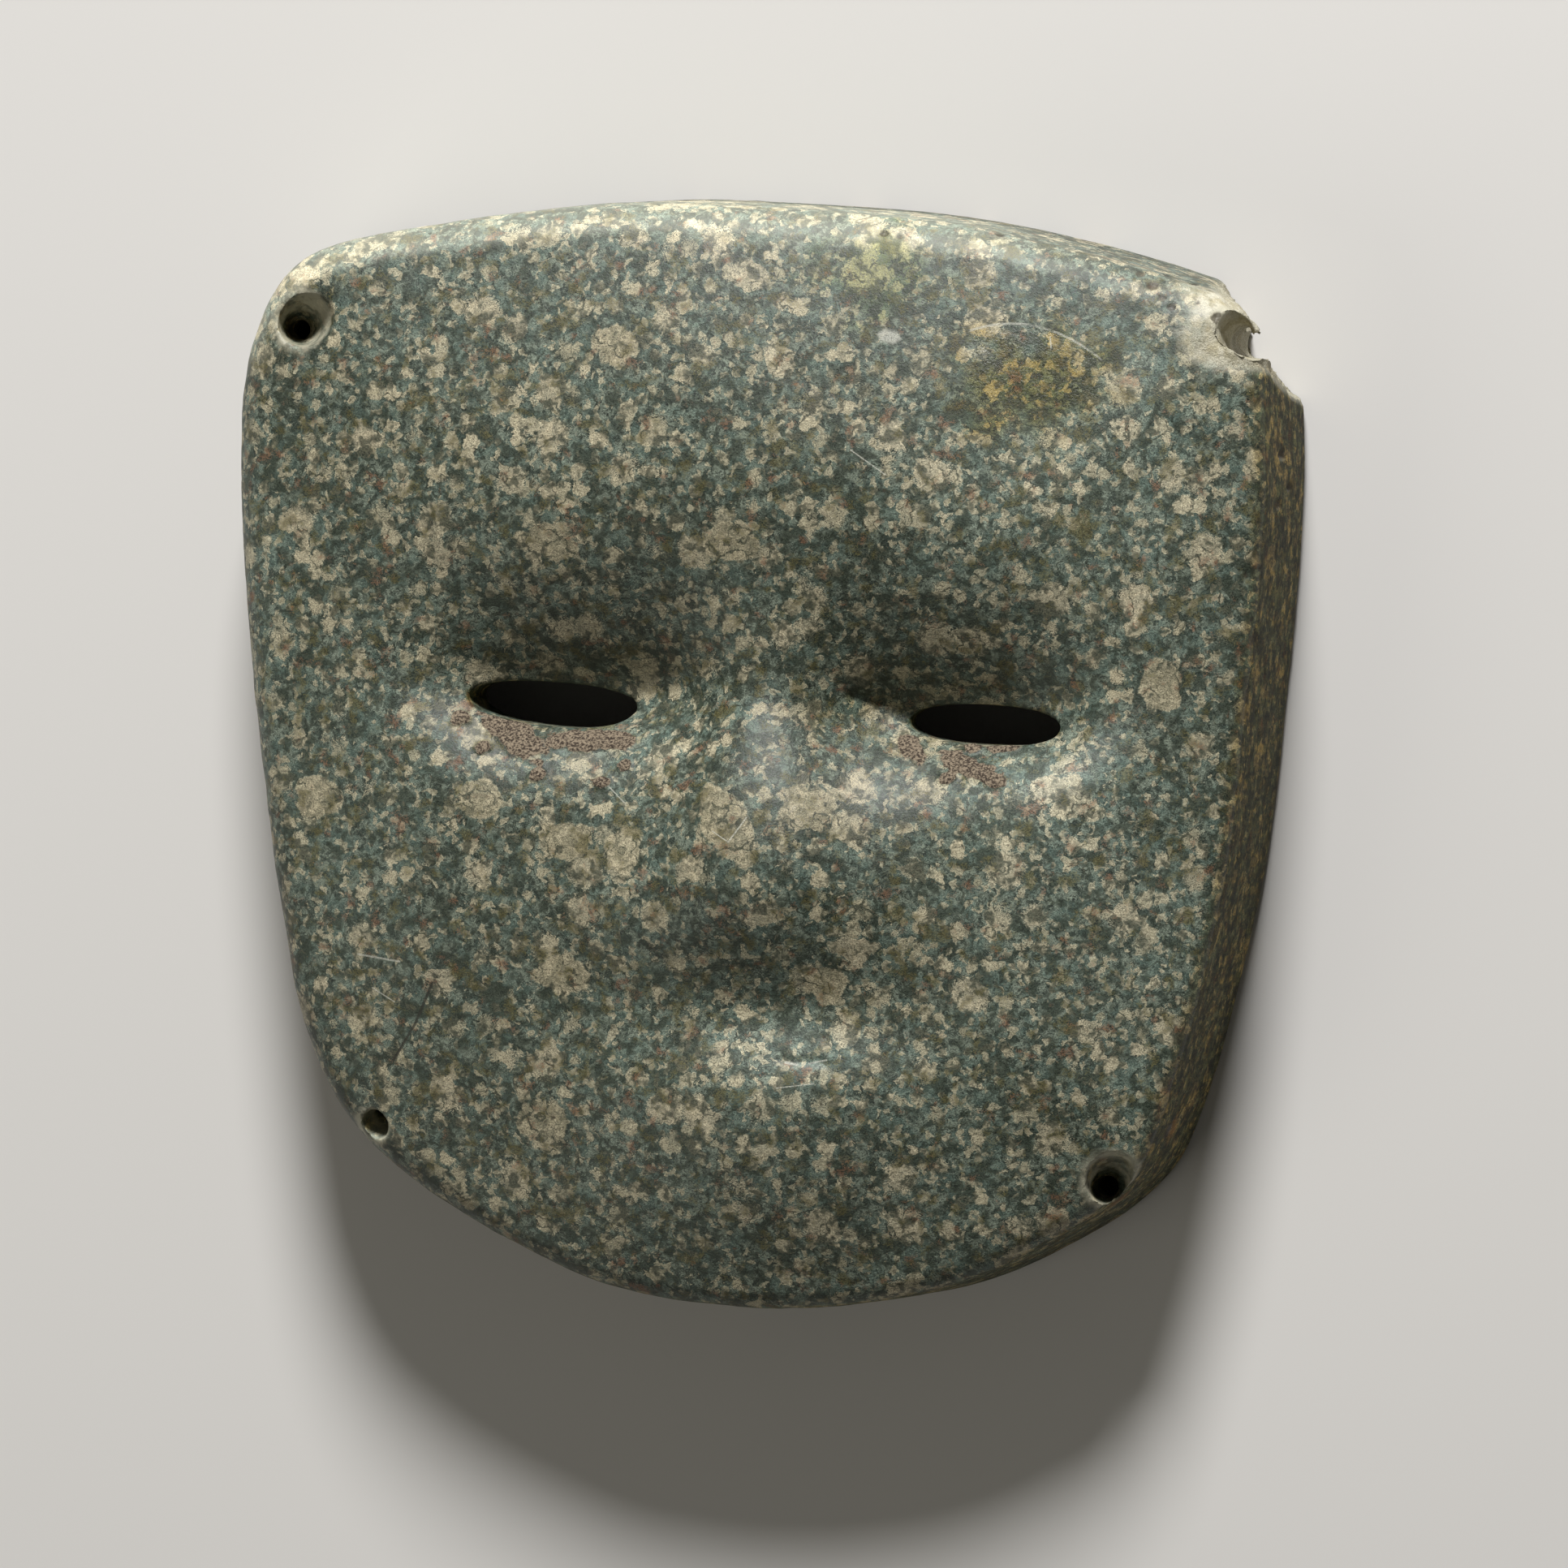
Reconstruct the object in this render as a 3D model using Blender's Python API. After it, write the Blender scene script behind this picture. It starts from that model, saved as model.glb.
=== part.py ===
"""A stone face mask with two eye slits, a low nose and a hollowed back, lying on the flat rim of its back."""

from math import cos, pi, radians, sin, tan

import bmesh
import bpy
import numpy as np
from mathutils import Vector

# Overall sizes, in metres: +X to the right of the face, +Y to the forehead, +Z out of the face
WIDTH = 0.1546
HEIGHT = 0.1614
EDGE_HEIGHT = 0.0290
DOME_RISE = 0.0066

# Rounding of the front edge on each side, and of the back edge
ROUND_TOP = 0.0065
ROUND_LEFT = 0.0075
ROUND_BOTTOM = 0.0045
ROUND_RIGHT = 0.0040
ROUND_BACK = 0.0018
WALL_LEAN = radians(3.0)
EDGE_SLOPE = radians(12.0)

# The hollow of the back: its flat rim, and the stone left at the eyes
RIM_WIDTH = 0.0085
EYE_WALL = 0.0040

# Heights and depths of the carving
SOCKET_DEPTH = 0.0118
NOSE_RISE = 0.0074
CHIN_RISE = 0.0052
LEFT_CHEEK_RISE = 0.0008
RIGHT_CHEEK_RISE = 0.0034
BROW_RISE = 0.0030

# Eye slits: half length of each, half height and tilts
SLIT_LEFT_LENGTH = 0.0121
SLIT_RIGHT_LENGTH = 0.0113
SLIT_HALF_HEIGHT = 0.0028
SLIT_LEFT_TILT = radians(-4.5)
SLIT_RIGHT_TILT = radians(-2.5)

# Lashing holes: radii of the drilled cones at the front, in the middle and at the back
DRILL_MOUTH = 0.0036
DRILL_EDGE_MOUTH = 0.0022
DRILL_THROAT = 0.0012
DRILL_BACK = 0.0024
DRILL_DEPTH = 0.0070
OVERCUT = 0.0040

# Powers that shape the dome, the nose's section, the sockets and the fading of the relief at the edge
DOME_POWER = 2.8
NOSE_POWER = 3.0
SOCKET_POWER = 3.0
FADE_POWER = 8.0

# How finely the form is divided
SEGMENTS = 88
FRONT_RINGS = 27
ROUND_STEPS = 4
WALL_STEPS = 2
HOLLOW_RINGS = 10
CURVE_STEPS = 24
SLIT_SIDES = 28
DRILL_SIDES = 20

HALF_W = WIDTH / 2
HALF_H = HEIGHT / 2

# The outline at the back edge, as shares of half the width and half the height, clockwise from the top
OUTLINE = (
    (-0.24, 1.000),
    (0.07, 0.992),
    (0.37, 0.966),
    (0.60, 0.920),
    (0.80, 0.865),
    (0.920, 0.820),
    (0.985, 0.745),
    (1.000, 0.600),
    (0.998, 0.420),
    (0.975, 0.170),
    (0.935, -0.160),
    (0.877, -0.420),
    (0.808, -0.640),
    (0.740, -0.760),
    (0.600, -0.862),
    (0.370, -0.960),
    (0.060, -1.000),
    (-0.260, -0.965),
    (-0.530, -0.850),
    (-0.745, -0.705),
    (-0.862, -0.530),
    (-0.922, -0.270),
    (-0.970, 0.080),
    (-1.000, 0.480),
    (-0.975, 0.740),
    (-0.862, 0.906),
    (-0.580, 0.970),
)

# Places on the face, as the same shares
CENTRE = (0.045, 0.040)
LEFT_EYE = (-0.366, 0.098)
RIGHT_EYE = (0.458, 0.060)
LEFT_SOCKET = (-0.305, 0.108)
RIGHT_SOCKET = (0.405, 0.070)
NOSE_ROOT = (0.075, 0.190)
NOSE_TIP = (0.050, -0.235)
CHIN = (0.085, -0.620)
LEFT_CHEEK = (-0.560, -0.060)
RIGHT_CHEEK = (0.600, -0.060)
BROW = (0.060, 0.540)

# How far each form spreads from its place: across, downward and upward, as shares
SOCKET_WIDE = (0.285, 0.112, 0.190)
SOCKET_NEAR = (0.235, 0.052, 0.062)
SOCKET_WIDE_PART = 0.70
SOCKET_BEND = 0.35
CHIN_SPREAD = (0.33, 0.310, 0.135)
CHEEK_SPREAD = (0.19, 0.460, 0.225)
BROW_SPREAD = (0.46, 0.240, 0.460)
NOSE_ROOT_HALF = 0.085
NOSE_TIP_HALF = 0.185
NOSE_ROOT_PART = 0.14
NOSE_UNDERSIDE = 0.240


def clear_scene():
    for item in list(bpy.data.objects):
        bpy.data.objects.remove(item, do_unlink=True)


def new_collection(name):
    made = bpy.data.collections.new(name)
    bpy.context.scene.collection.children.link(made)
    return made


def stone():
    made = bpy.data.materials.new("greenstone")
    made.use_nodes = True
    shader = made.node_tree.nodes["Principled BSDF"]
    shader.inputs["Base Color"].default_value = (0.22, 0.25, 0.20, 1.0)
    shader.inputs["Roughness"].default_value = 0.55
    shader.inputs["Metallic"].default_value = 0.0
    return made


def smooth_loop(corners, count):
    """Points spaced evenly along a smooth closed curve through the given corners."""
    corners = np.asarray(corners, float)
    before = np.roll(corners, 1, axis=0)
    after = np.roll(corners, -1, axis=0)
    beyond = np.roll(corners, -2, axis=0)
    rows = []
    for k in range(CURVE_STEPS):
        t = k / CURVE_STEPS
        bend = 2.0 * before - 5.0 * corners + 4.0 * after - beyond
        twist = 3.0 * corners - before - 3.0 * after + beyond
        rows.append(corners + 0.5 * ((after - before) * t + bend * t**2 + twist * t**3))
    fine = np.stack(rows, axis=1).reshape(-1, 2)
    closed = np.vstack([fine, fine[:1]])
    run = np.concatenate([[0.0], np.cumsum(np.linalg.norm(np.diff(closed, axis=0), axis=1))])
    places = np.linspace(0.0, run[-1], count, endpoint=False)
    return np.column_stack([np.interp(places, run, closed[:, axis]) for axis in (0, 1)])


def outward(loop):
    """The outward normal at each point of a clockwise loop."""
    along = np.roll(loop, -1, axis=0) - np.roll(loop, 1, axis=0)
    along /= np.linalg.norm(along, axis=1)[:, None]
    return np.column_stack([-along[:, 1], along[:, 0]])


def ramp(value, start, end):
    """A smooth step from nought at the start to one at the end."""
    t = np.clip((value - start) / (end - start), 0.0, 1.0)
    return t * t * (3.0 - 2.0 * t)


def mound(x, y, place, spread, power=2.0):
    """A soft mound of height one at its place, which may fall away faster below than above."""
    across, below, above = spread
    tall = np.where(y < place[1], below, above)
    return np.exp(-(np.abs((x - place[0]) / across) ** power) - ((y - place[1]) / tall) ** 2)


def socket(x, y, place):
    """Depth share of one eye hollow, a broad wedge under the brow that is deepest along the slit."""
    bent = y - SOCKET_BEND * (x - place[0]) ** 2
    wide = mound(x, bent, place, SOCKET_WIDE, SOCKET_POWER)
    near = mound(x, bent, place, SOCKET_NEAR, SOCKET_POWER)
    return SOCKET_WIDE_PART * wide + (1.0 - SOCKET_WIDE_PART) * near


def nose(x, y):
    """Height share of the nose, a low wedge that widens down to its tip."""
    down = (NOSE_ROOT[1] - y) / (NOSE_ROOT[1] - NOSE_TIP[1])
    ridge = NOSE_ROOT[0] + (NOSE_TIP[0] - NOSE_ROOT[0]) * down
    half = NOSE_ROOT_HALF + (NOSE_TIP_HALF - NOSE_ROOT_HALF) * np.clip(down, 0.0, 1.2)
    section = 1.0 / (1.0 + (np.abs(x - ridge) / half) ** NOSE_POWER)
    rise = NOSE_ROOT_PART + (1.0 - NOSE_ROOT_PART) * ramp(down, 0.05, 0.95)
    from_brow = ramp(y, NOSE_ROOT[1] + 0.20, NOSE_ROOT[1] - 0.06)
    to_lip = ramp(y, NOSE_TIP[1] - NOSE_UNDERSIDE, NOSE_TIP[1] + 0.02)
    return section * rise * from_brow * to_lip


def relief(x, y):
    """Carved height in metres over the plain domed face, at places given as shares."""
    height = NOSE_RISE * nose(x, y)
    height = height + CHIN_RISE * mound(x, y, CHIN, CHIN_SPREAD)
    height = height + BROW_RISE * mound(x, y, BROW, BROW_SPREAD)
    height = height + LEFT_CHEEK_RISE * mound(x, y, LEFT_CHEEK, CHEEK_SPREAD)
    height = height + RIGHT_CHEEK_RISE * mound(x, y, RIGHT_CHEEK, CHEEK_SPREAD)
    return height - SOCKET_DEPTH * (socket(x, y, LEFT_SOCKET) + socket(x, y, RIGHT_SOCKET))


def front_height(points, share):
    """Height of the front face at a share of the way from its centre to its edge."""
    dome = DOME_RISE * (1.0 - share**DOME_POWER)
    return EDGE_HEIGHT + dome + relief(points[:, 0] / HALF_W, points[:, 1] / HALF_H) * (1.0 - share**FADE_POWER)


def edge_round(normals):
    """Radius of the front edge at each point of the outline."""
    right = np.clip(normals[:, 0], 0.0, 1.0) ** 2
    left = np.clip(-normals[:, 0], 0.0, 1.0) ** 2
    top = np.clip(normals[:, 1], 0.0, 1.0) ** 2
    bottom = np.clip(-normals[:, 1], 0.0, 1.0) ** 2
    return ROUND_RIGHT * right + ROUND_LEFT * left + ROUND_TOP * top + ROUND_BOTTOM * bottom


def mask_rings():
    """Rings of points from the middle of the front, over the edge, to the middle of the hollow."""
    loop = smooth_loop([(x * HALF_W, y * HALF_H) for x, y in OUTLINE], SEGMENTS)
    normals = outward(loop)
    middle = np.array([CENTRE[0] * HALF_W, CENTRE[1] * HALF_H])
    radius = edge_round(normals)
    wall_top = EDGE_HEIGHT - radius * cos(EDGE_SLOPE)
    lean = (wall_top - ROUND_BACK) * tan(WALL_LEAN)
    rings = []

    def ring(inset, height):
        flat = loop - normals * np.broadcast_to(inset, len(loop))[:, None]
        rings.append(np.column_stack([flat, np.broadcast_to(height, len(loop))]))

    face_edge = loop - normals * (lean + radius * (1.0 - sin(EDGE_SLOPE)))[:, None]
    for k in range(1, FRONT_RINGS + 1):
        share = k / FRONT_RINGS
        flat = middle + (face_edge - middle) * share
        rings.append(np.column_stack([flat, front_height(flat, share)]))
    for k in range(1, ROUND_STEPS + 1):
        turn = EDGE_SLOPE + (pi / 2 - EDGE_SLOPE) * k / ROUND_STEPS
        ring(lean + radius * (1.0 - sin(turn)), wall_top + radius * cos(turn))
    for k in range(1, WALL_STEPS + 1):
        down = k / WALL_STEPS
        ring(lean * (1.0 - down), wall_top + (ROUND_BACK - wall_top) * down)
    for turn in (pi / 4, pi / 2):
        ring(ROUND_BACK * (1.0 - cos(turn)), ROUND_BACK * (1.0 - sin(turn)))
    rim_edge = middle + hollow_outline(loop - middle)
    rings.append(np.column_stack([rim_edge, np.zeros(len(loop))]))
    depth = hollow_depth()
    for k in range(1, HOLLOW_RINGS + 1):
        turn = 0.5 * pi * (k / (HOLLOW_RINGS + 0.5)) ** 0.9
        flat = middle + (rim_edge - middle) * cos(turn) ** 0.6
        rings.append(np.column_stack([flat, np.full(len(loop), depth * sin(turn) ** 0.85)]))
    return rings


def hollow_outline(spokes):
    """The hollow's edge along each spoke from the middle: a rounded oblong, narrower to the chin."""
    reach = np.linalg.norm(spokes, axis=1)
    across = spokes[:, 0] / reach
    up = spokes[:, 1] / reach
    inset = ROUND_BACK + RIM_WIDTH
    half_wide = (HALF_W * 0.965 - inset) * (0.970 + 0.045 * up)
    half_high = HALF_H * np.where(up > 0, 1.0 - CENTRE[1], 1.0 + CENTRE[1]) - inset
    power = 2.5 + 0.4 * up
    radius = (np.abs(across / half_wide) ** power + np.abs(up / half_high) ** power) ** (-1.0 / power)
    return spokes / reach[:, None] * radius[:, None]


def hollow_depth():
    """Height of the hollow's ceiling, which leaves about the eye wall at the lower of the two eyes."""
    lowest = []
    for eye_x, eye_y in (LEFT_EYE, RIGHT_EYE):
        place = np.array([[eye_x * HALF_W, eye_y * HALF_H]])
        share = np.array([np.hypot(eye_x - CENTRE[0], eye_y - CENTRE[1])])
        lowest.append(front_height(place, share)[0])
    return min(lowest) - EYE_WALL


def loft(rings, first_cap, last_cap):
    """A closed mesh through the rings, with a point at each end."""
    made = bmesh.new()
    first = made.verts.new(first_cap)
    last = made.verts.new(last_cap)
    rows = [[made.verts.new(point) for point in ring] for ring in rings]
    count = len(rows[0])
    for j in range(count):
        after = (j + 1) % count
        made.faces.new((first, rows[0][after], rows[0][j]))
        made.faces.new((last, rows[-1][j], rows[-1][after]))
        for inner, outer in zip(rows, rows[1:]):
            made.faces.new((inner[j], inner[after], outer[after], outer[j]))
    bmesh.ops.recalc_face_normals(made, faces=made.faces)
    bmesh.ops.triangulate(made, faces=made.faces)
    return made


def add_object(made, name, collection):
    mesh = bpy.data.meshes.new(name)
    made.to_mesh(mesh)
    made.free()
    item = bpy.data.objects.new(name, mesh)
    collection.objects.link(item)
    return item


def add_cutter(made, name):
    item = add_object(made, name, bpy.data.collections["cutters"])
    item.display_type = "WIRE"
    item.hide_render = True
    return item


def prism(name, loop, low, high):
    """A cutter with a flat outline, from one height to another."""
    made = bmesh.new()
    base = made.faces.new([made.verts.new((x, y, low)) for x, y in loop])
    lifted = bmesh.ops.extrude_face_region(made, geom=[base])["geom"]
    corners = [part for part in lifted if isinstance(part, bmesh.types.BMVert)]
    bmesh.ops.translate(made, verts=corners, vec=(0.0, 0.0, high - low))
    bmesh.ops.recalc_face_normals(made, faces=made.faces)
    return add_cutter(made, name)


def slit_cutter(name, eye, tilt, half_length, above, below):
    """An eye slit: a pointed oval with its own share of the half height above and below its axis."""
    loop = []
    for k in range(SLIT_SIDES):
        turn = 2.0 * pi * k / SLIT_SIDES
        half = SLIT_HALF_HEIGHT * (above if sin(turn) > 0 else below)
        x = half_length * np.sign(cos(turn)) * abs(cos(turn)) ** 0.85
        y = half * np.sign(sin(turn)) * abs(sin(turn)) ** 0.90
        across = eye[0] * HALF_W + x * cos(tilt) - y * sin(tilt)
        up = eye[1] * HALF_H + x * sin(tilt) + y * cos(tilt)
        loop.append((across, up))
    return prism(name, loop, -OVERCUT, EDGE_HEIGHT + DOME_RISE + NOSE_RISE + OVERCUT)


def drill_cone(name, mouth, tip, mouth_radius, tip_radius):
    """A tapered hole from its mouth to its tip, run on past both ends."""
    axis = tip - mouth
    taper = (mouth_radius - tip_radius) / axis.length
    start = mouth - axis.normalized() * OVERCUT
    end = tip + axis.normalized() * tip_radius
    made = bmesh.new()
    bmesh.ops.create_cone(
        made,
        cap_ends=True,
        segments=DRILL_SIDES,
        radius1=mouth_radius + taper * OVERCUT,
        radius2=tip_radius,
        depth=(end - start).length,
    )
    item = add_cutter(made, name)
    item.rotation_mode = "QUATERNION"
    item.rotation_quaternion = axis.to_track_quat("Z", "Y")
    item.location = (start + end) / 2
    return item


def lashing_hole(name, place, lean, mouth_radius):
    """Cutters for one lashing hole: a leaning cone from the front, and an upright one from the back."""
    mouth = Vector((place[0] * HALF_W, place[1] * HALF_H, EDGE_HEIGHT))
    throat = mouth + Vector((lean[0], lean[1], -1.0)).normalized() * DRILL_DEPTH
    back = Vector((throat.x, throat.y, 0.0))
    return [
        drill_cone(name + "_front", mouth, throat, mouth_radius, DRILL_THROAT),
        drill_cone(name + "_back", back, throat, DRILL_BACK, DRILL_THROAT),
    ]


def chip_cutter(name, place, below_edge, size, turn):
    """A rough lump that takes a chip out of the corner, placed by shares and a depth below the front's edge."""
    made = bmesh.new()
    bmesh.ops.create_icosphere(made, subdivisions=3, radius=1.0)
    for corner in made.verts:
        x, y, z = corner.co
        swell = 0.07 * sin(5.0 * x + turn) * cos(4.0 * y - turn) + 0.04 * sin(6.0 * z + 2.0 * turn)
        corner.co *= 1.0 + swell
    item = add_cutter(made, name)
    item.scale = size
    item.location = (place[0] * HALF_W, place[1] * HALF_H, EDGE_HEIGHT - below_edge)
    return item


def cut(target, cutters):
    for cutter in cutters:
        step = target.modifiers.new(cutter.name, "BOOLEAN")
        step.operation = "DIFFERENCE"
        step.solver = "EXACT"
        step.object = cutter


def build():
    clear_scene()
    parts = new_collection("stone_mask")
    new_collection("cutters")
    middle = np.array([[CENTRE[0] * HALF_W, CENTRE[1] * HALF_H]])
    top = front_height(middle, np.array([0.0]))[0]
    solid = loft(mask_rings(), (*middle[0], top), (*middle[0], hollow_depth()))
    mask = add_object(solid, "mask", parts)
    mask.data.materials.append(stone())
    mask.data.shade_smooth()
    mask.data.set_sharp_from_angle(angle=radians(40))
    cutters = [
        slit_cutter("slit_left", LEFT_EYE, SLIT_LEFT_TILT, SLIT_LEFT_LENGTH, 0.90, 1.25),
        slit_cutter("slit_right", RIGHT_EYE, SLIT_RIGHT_TILT, SLIT_RIGHT_LENGTH, 0.96, 0.96),
    ]
    cutters += lashing_hole("hole_top_left", (-0.840, 0.777), (-0.35, -0.18), DRILL_MOUTH)
    cutters += lashing_hole("hole_bottom_left", (-0.708, -0.668), (0.30, 0.35), DRILL_EDGE_MOUTH)
    cutters += lashing_hole("hole_bottom_right", (0.704, -0.741), (-0.32, -0.20), DRILL_MOUTH)
    cutters += lashing_hole("hole_top_right", (0.946, 0.769), (-0.23, -0.42), DRILL_MOUTH)
    cutters += [
        chip_cutter("break_under", (1.158, 0.897), 0.029, (0.0225, 0.0225, 0.0420), 0.5),
        chip_cutter("chip_notch", (0.960, 0.728), 0.012, (0.0035, 0.0014, 0.0150), 2.1),
    ]
    cut(mask, cutters)


build()
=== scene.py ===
"""The looks of a weathered greenstone mask on its back: its worn, pitted surface and speckled stone."""

from itertools import product
from math import cos, pi, radians, sin, tan

import bmesh
import bpy
import numpy as np
from mathutils import Matrix, Vector


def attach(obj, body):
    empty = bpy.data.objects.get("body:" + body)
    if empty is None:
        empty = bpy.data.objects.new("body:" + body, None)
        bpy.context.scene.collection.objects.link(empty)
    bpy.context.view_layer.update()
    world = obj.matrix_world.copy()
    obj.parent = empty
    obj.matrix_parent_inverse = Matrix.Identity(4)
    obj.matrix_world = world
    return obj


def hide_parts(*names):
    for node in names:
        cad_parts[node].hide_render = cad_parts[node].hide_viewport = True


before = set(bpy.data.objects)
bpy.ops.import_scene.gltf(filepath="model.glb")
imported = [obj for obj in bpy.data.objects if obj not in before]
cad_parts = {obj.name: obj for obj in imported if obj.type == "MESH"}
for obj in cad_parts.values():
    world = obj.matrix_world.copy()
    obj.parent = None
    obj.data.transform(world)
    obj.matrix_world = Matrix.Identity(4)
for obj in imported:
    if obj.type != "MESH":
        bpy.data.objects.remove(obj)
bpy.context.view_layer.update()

# Overall sizes of the mask, the same as in the part's source, in metres
WIDTH = 0.1546
HEIGHT = 0.1614
EDGE_HEIGHT = 0.0290
DOME_RISE = 0.0066
ROUND_TOP = 0.0065
ROUND_LEFT = 0.0075
ROUND_BOTTOM = 0.0045
ROUND_RIGHT = 0.0040
ROUND_BACK = 0.0018
WALL_LEAN = radians(3.0)
EDGE_SLOPE = radians(12.0)
RIM_WIDTH = 0.0085
EYE_WALL = 0.0040
SOCKET_DEPTH = 0.0118
NOSE_RISE = 0.0074
CHIN_RISE = 0.0052
LEFT_CHEEK_RISE = 0.0008
RIGHT_CHEEK_RISE = 0.0034
BROW_RISE = 0.0030
SLIT_LEFT_LENGTH = 0.0121
SLIT_RIGHT_LENGTH = 0.0113
SLIT_HALF_HEIGHT = 0.0028
SLIT_LEFT_TILT = radians(-4.5)
SLIT_RIGHT_TILT = radians(-2.5)
DRILL_MOUTH = 0.0036
DRILL_EDGE_MOUTH = 0.0022
DRILL_THROAT = 0.0012
DRILL_BACK = 0.0024
DRILL_DEPTH = 0.0070
OVERCUT = 0.0040
DOME_POWER = 2.8
NOSE_POWER = 3.0
SOCKET_POWER = 3.0
FADE_POWER = 8.0
HALF_W = WIDTH / 2
HALF_H = HEIGHT / 2

# How finely the form is divided before it is weathered, and how fine it stays
SEGMENTS = 300
FRONT_RINGS = 96
ROUND_STEPS = 12
WALL_STEPS = 14
HOLLOW_RINGS = 30
CURVE_STEPS = 24
SLIT_SIDES = 56
DRILL_SIDES = 40
VOXEL = 0.00055
MOST_TRIANGLES = 190000

# The outline at the back edge, as shares of half the width and half the height, clockwise from the top
OUTLINE = (
    (-0.24, 1.000),
    (0.07, 0.992),
    (0.37, 0.966),
    (0.60, 0.920),
    (0.80, 0.865),
    (0.920, 0.820),
    (0.985, 0.745),
    (1.000, 0.600),
    (0.998, 0.420),
    (0.975, 0.170),
    (0.935, -0.160),
    (0.877, -0.420),
    (0.808, -0.640),
    (0.740, -0.760),
    (0.600, -0.862),
    (0.370, -0.960),
    (0.060, -1.000),
    (-0.260, -0.965),
    (-0.530, -0.850),
    (-0.745, -0.705),
    (-0.862, -0.530),
    (-0.922, -0.270),
    (-0.970, 0.080),
    (-1.000, 0.480),
    (-0.975, 0.740),
    (-0.862, 0.906),
    (-0.580, 0.970),
)

# Places on the face, and how far each form spreads from its place, as the same shares
CENTRE = (0.045, 0.040)
LEFT_EYE = (-0.366, 0.098)
RIGHT_EYE = (0.458, 0.060)
LEFT_SOCKET = (-0.305, 0.108)
RIGHT_SOCKET = (0.405, 0.070)
NOSE_ROOT = (0.075, 0.190)
NOSE_TIP = (0.050, -0.235)
CHIN = (0.085, -0.620)
LEFT_CHEEK = (-0.560, -0.060)
RIGHT_CHEEK = (0.600, -0.060)
BROW = (0.060, 0.540)
SOCKET_WIDE = (0.285, 0.112, 0.190)
SOCKET_NEAR = (0.235, 0.052, 0.062)
SOCKET_WIDE_PART = 0.70
SOCKET_BEND = 0.35
CHIN_SPREAD = (0.33, 0.310, 0.135)
CHEEK_SPREAD = (0.19, 0.460, 0.225)
BROW_SPREAD = (0.46, 0.240, 0.460)
NOSE_ROOT_HALF = 0.085
NOSE_TIP_HALF = 0.185
NOSE_ROOT_PART = 0.14
NOSE_UNDERSIDE = 0.240

# The eye slits: place, tilt, half length, and the shares of the half height above and below the axis
SLITS = {
    "slit_left": (LEFT_EYE, SLIT_LEFT_TILT, SLIT_LEFT_LENGTH, 0.90, 1.25),
    "slit_right": (RIGHT_EYE, SLIT_RIGHT_TILT, SLIT_RIGHT_LENGTH, 0.96, 0.96),
}

# The lashing holes: place, how the front cone leans, and the radius of its mouth
LASHING_HOLES = {
    "hole_top_left": ((-0.840, 0.777), (-0.35, -0.18), DRILL_MOUTH),
    "hole_bottom_left": ((-0.708, -0.668), (0.30, 0.35), DRILL_EDGE_MOUTH),
    "hole_bottom_right": ((0.704, -0.741), (-0.32, -0.20), DRILL_MOUTH),
    "hole_top_right": ((0.946, 0.769), (-0.23, -0.42), DRILL_MOUTH),
}

# Lumps that broke away from the upper right corner: place, depth below the front's edge, size and turn
BREAKS = {
    "break_under": ((1.158, 0.897), 0.029, (0.0225, 0.0225, 0.0420), 0.5),
    "chip_notch": ((0.960, 0.728), 0.012, (0.0035, 0.0014, 0.0150), 2.1),
}

# Smooth waves of wear, in metres: depth, size and seed of each layer
WEAR = ((0.00009, 0.0090, 1), (0.00005, 0.0032, 2), (0.00003, 0.0013, 3))
EDGE_WEAR = ((0.00012, 0.0042, 4),)
BREAK_WEAR = ((0.00035, 0.0024, 7), (0.00020, 0.0011, 8))
PIT_DEPTH = 0.00028
CRUST_HEIGHT = 0.00032
FACE_HEIGHTS = (0.018, 0.024)

# Scattered pits, in metres: spacing, radius, share of the cells that have one, and seed
FACE_PITS = (0.0034, 0.00055, 0.30, 11)
EDGE_PITS = (0.0022, 0.00060, 0.45, 21)
FULL_PIT = 0.3

# Dried earth left by the eyes, in millimetres: middle, half length, half width and turn in degrees
CRUST = (
    (-33.0, 2.9, 6.2, 2.0, -31),
    (-22.0, 2.4, 7.2, 1.4, 0),
    (-40.9, 5.5, 1.3, 1.0, 0),
    (-37.1, 1.5, 1.1, 0.9, 0),
    (-28.8, -2.5, 1.3, 1.0, 20),
    (-18.9, -3.4, 1.1, 0.8, 0),
    (-15.9, -0.9, 1.0, 0.8, 0),
    (25.3, 1.5, 2.8, 1.2, -42),
    (34.5, -1.1, 5.6, 1.4, -20),
    (31.2, -2.5, 1.5, 0.9, 10),
    (34.1, 1.8, 1.2, 0.8, 0),
    (38.5, 2.0, 2.3, 0.8, 0),
)

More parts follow.
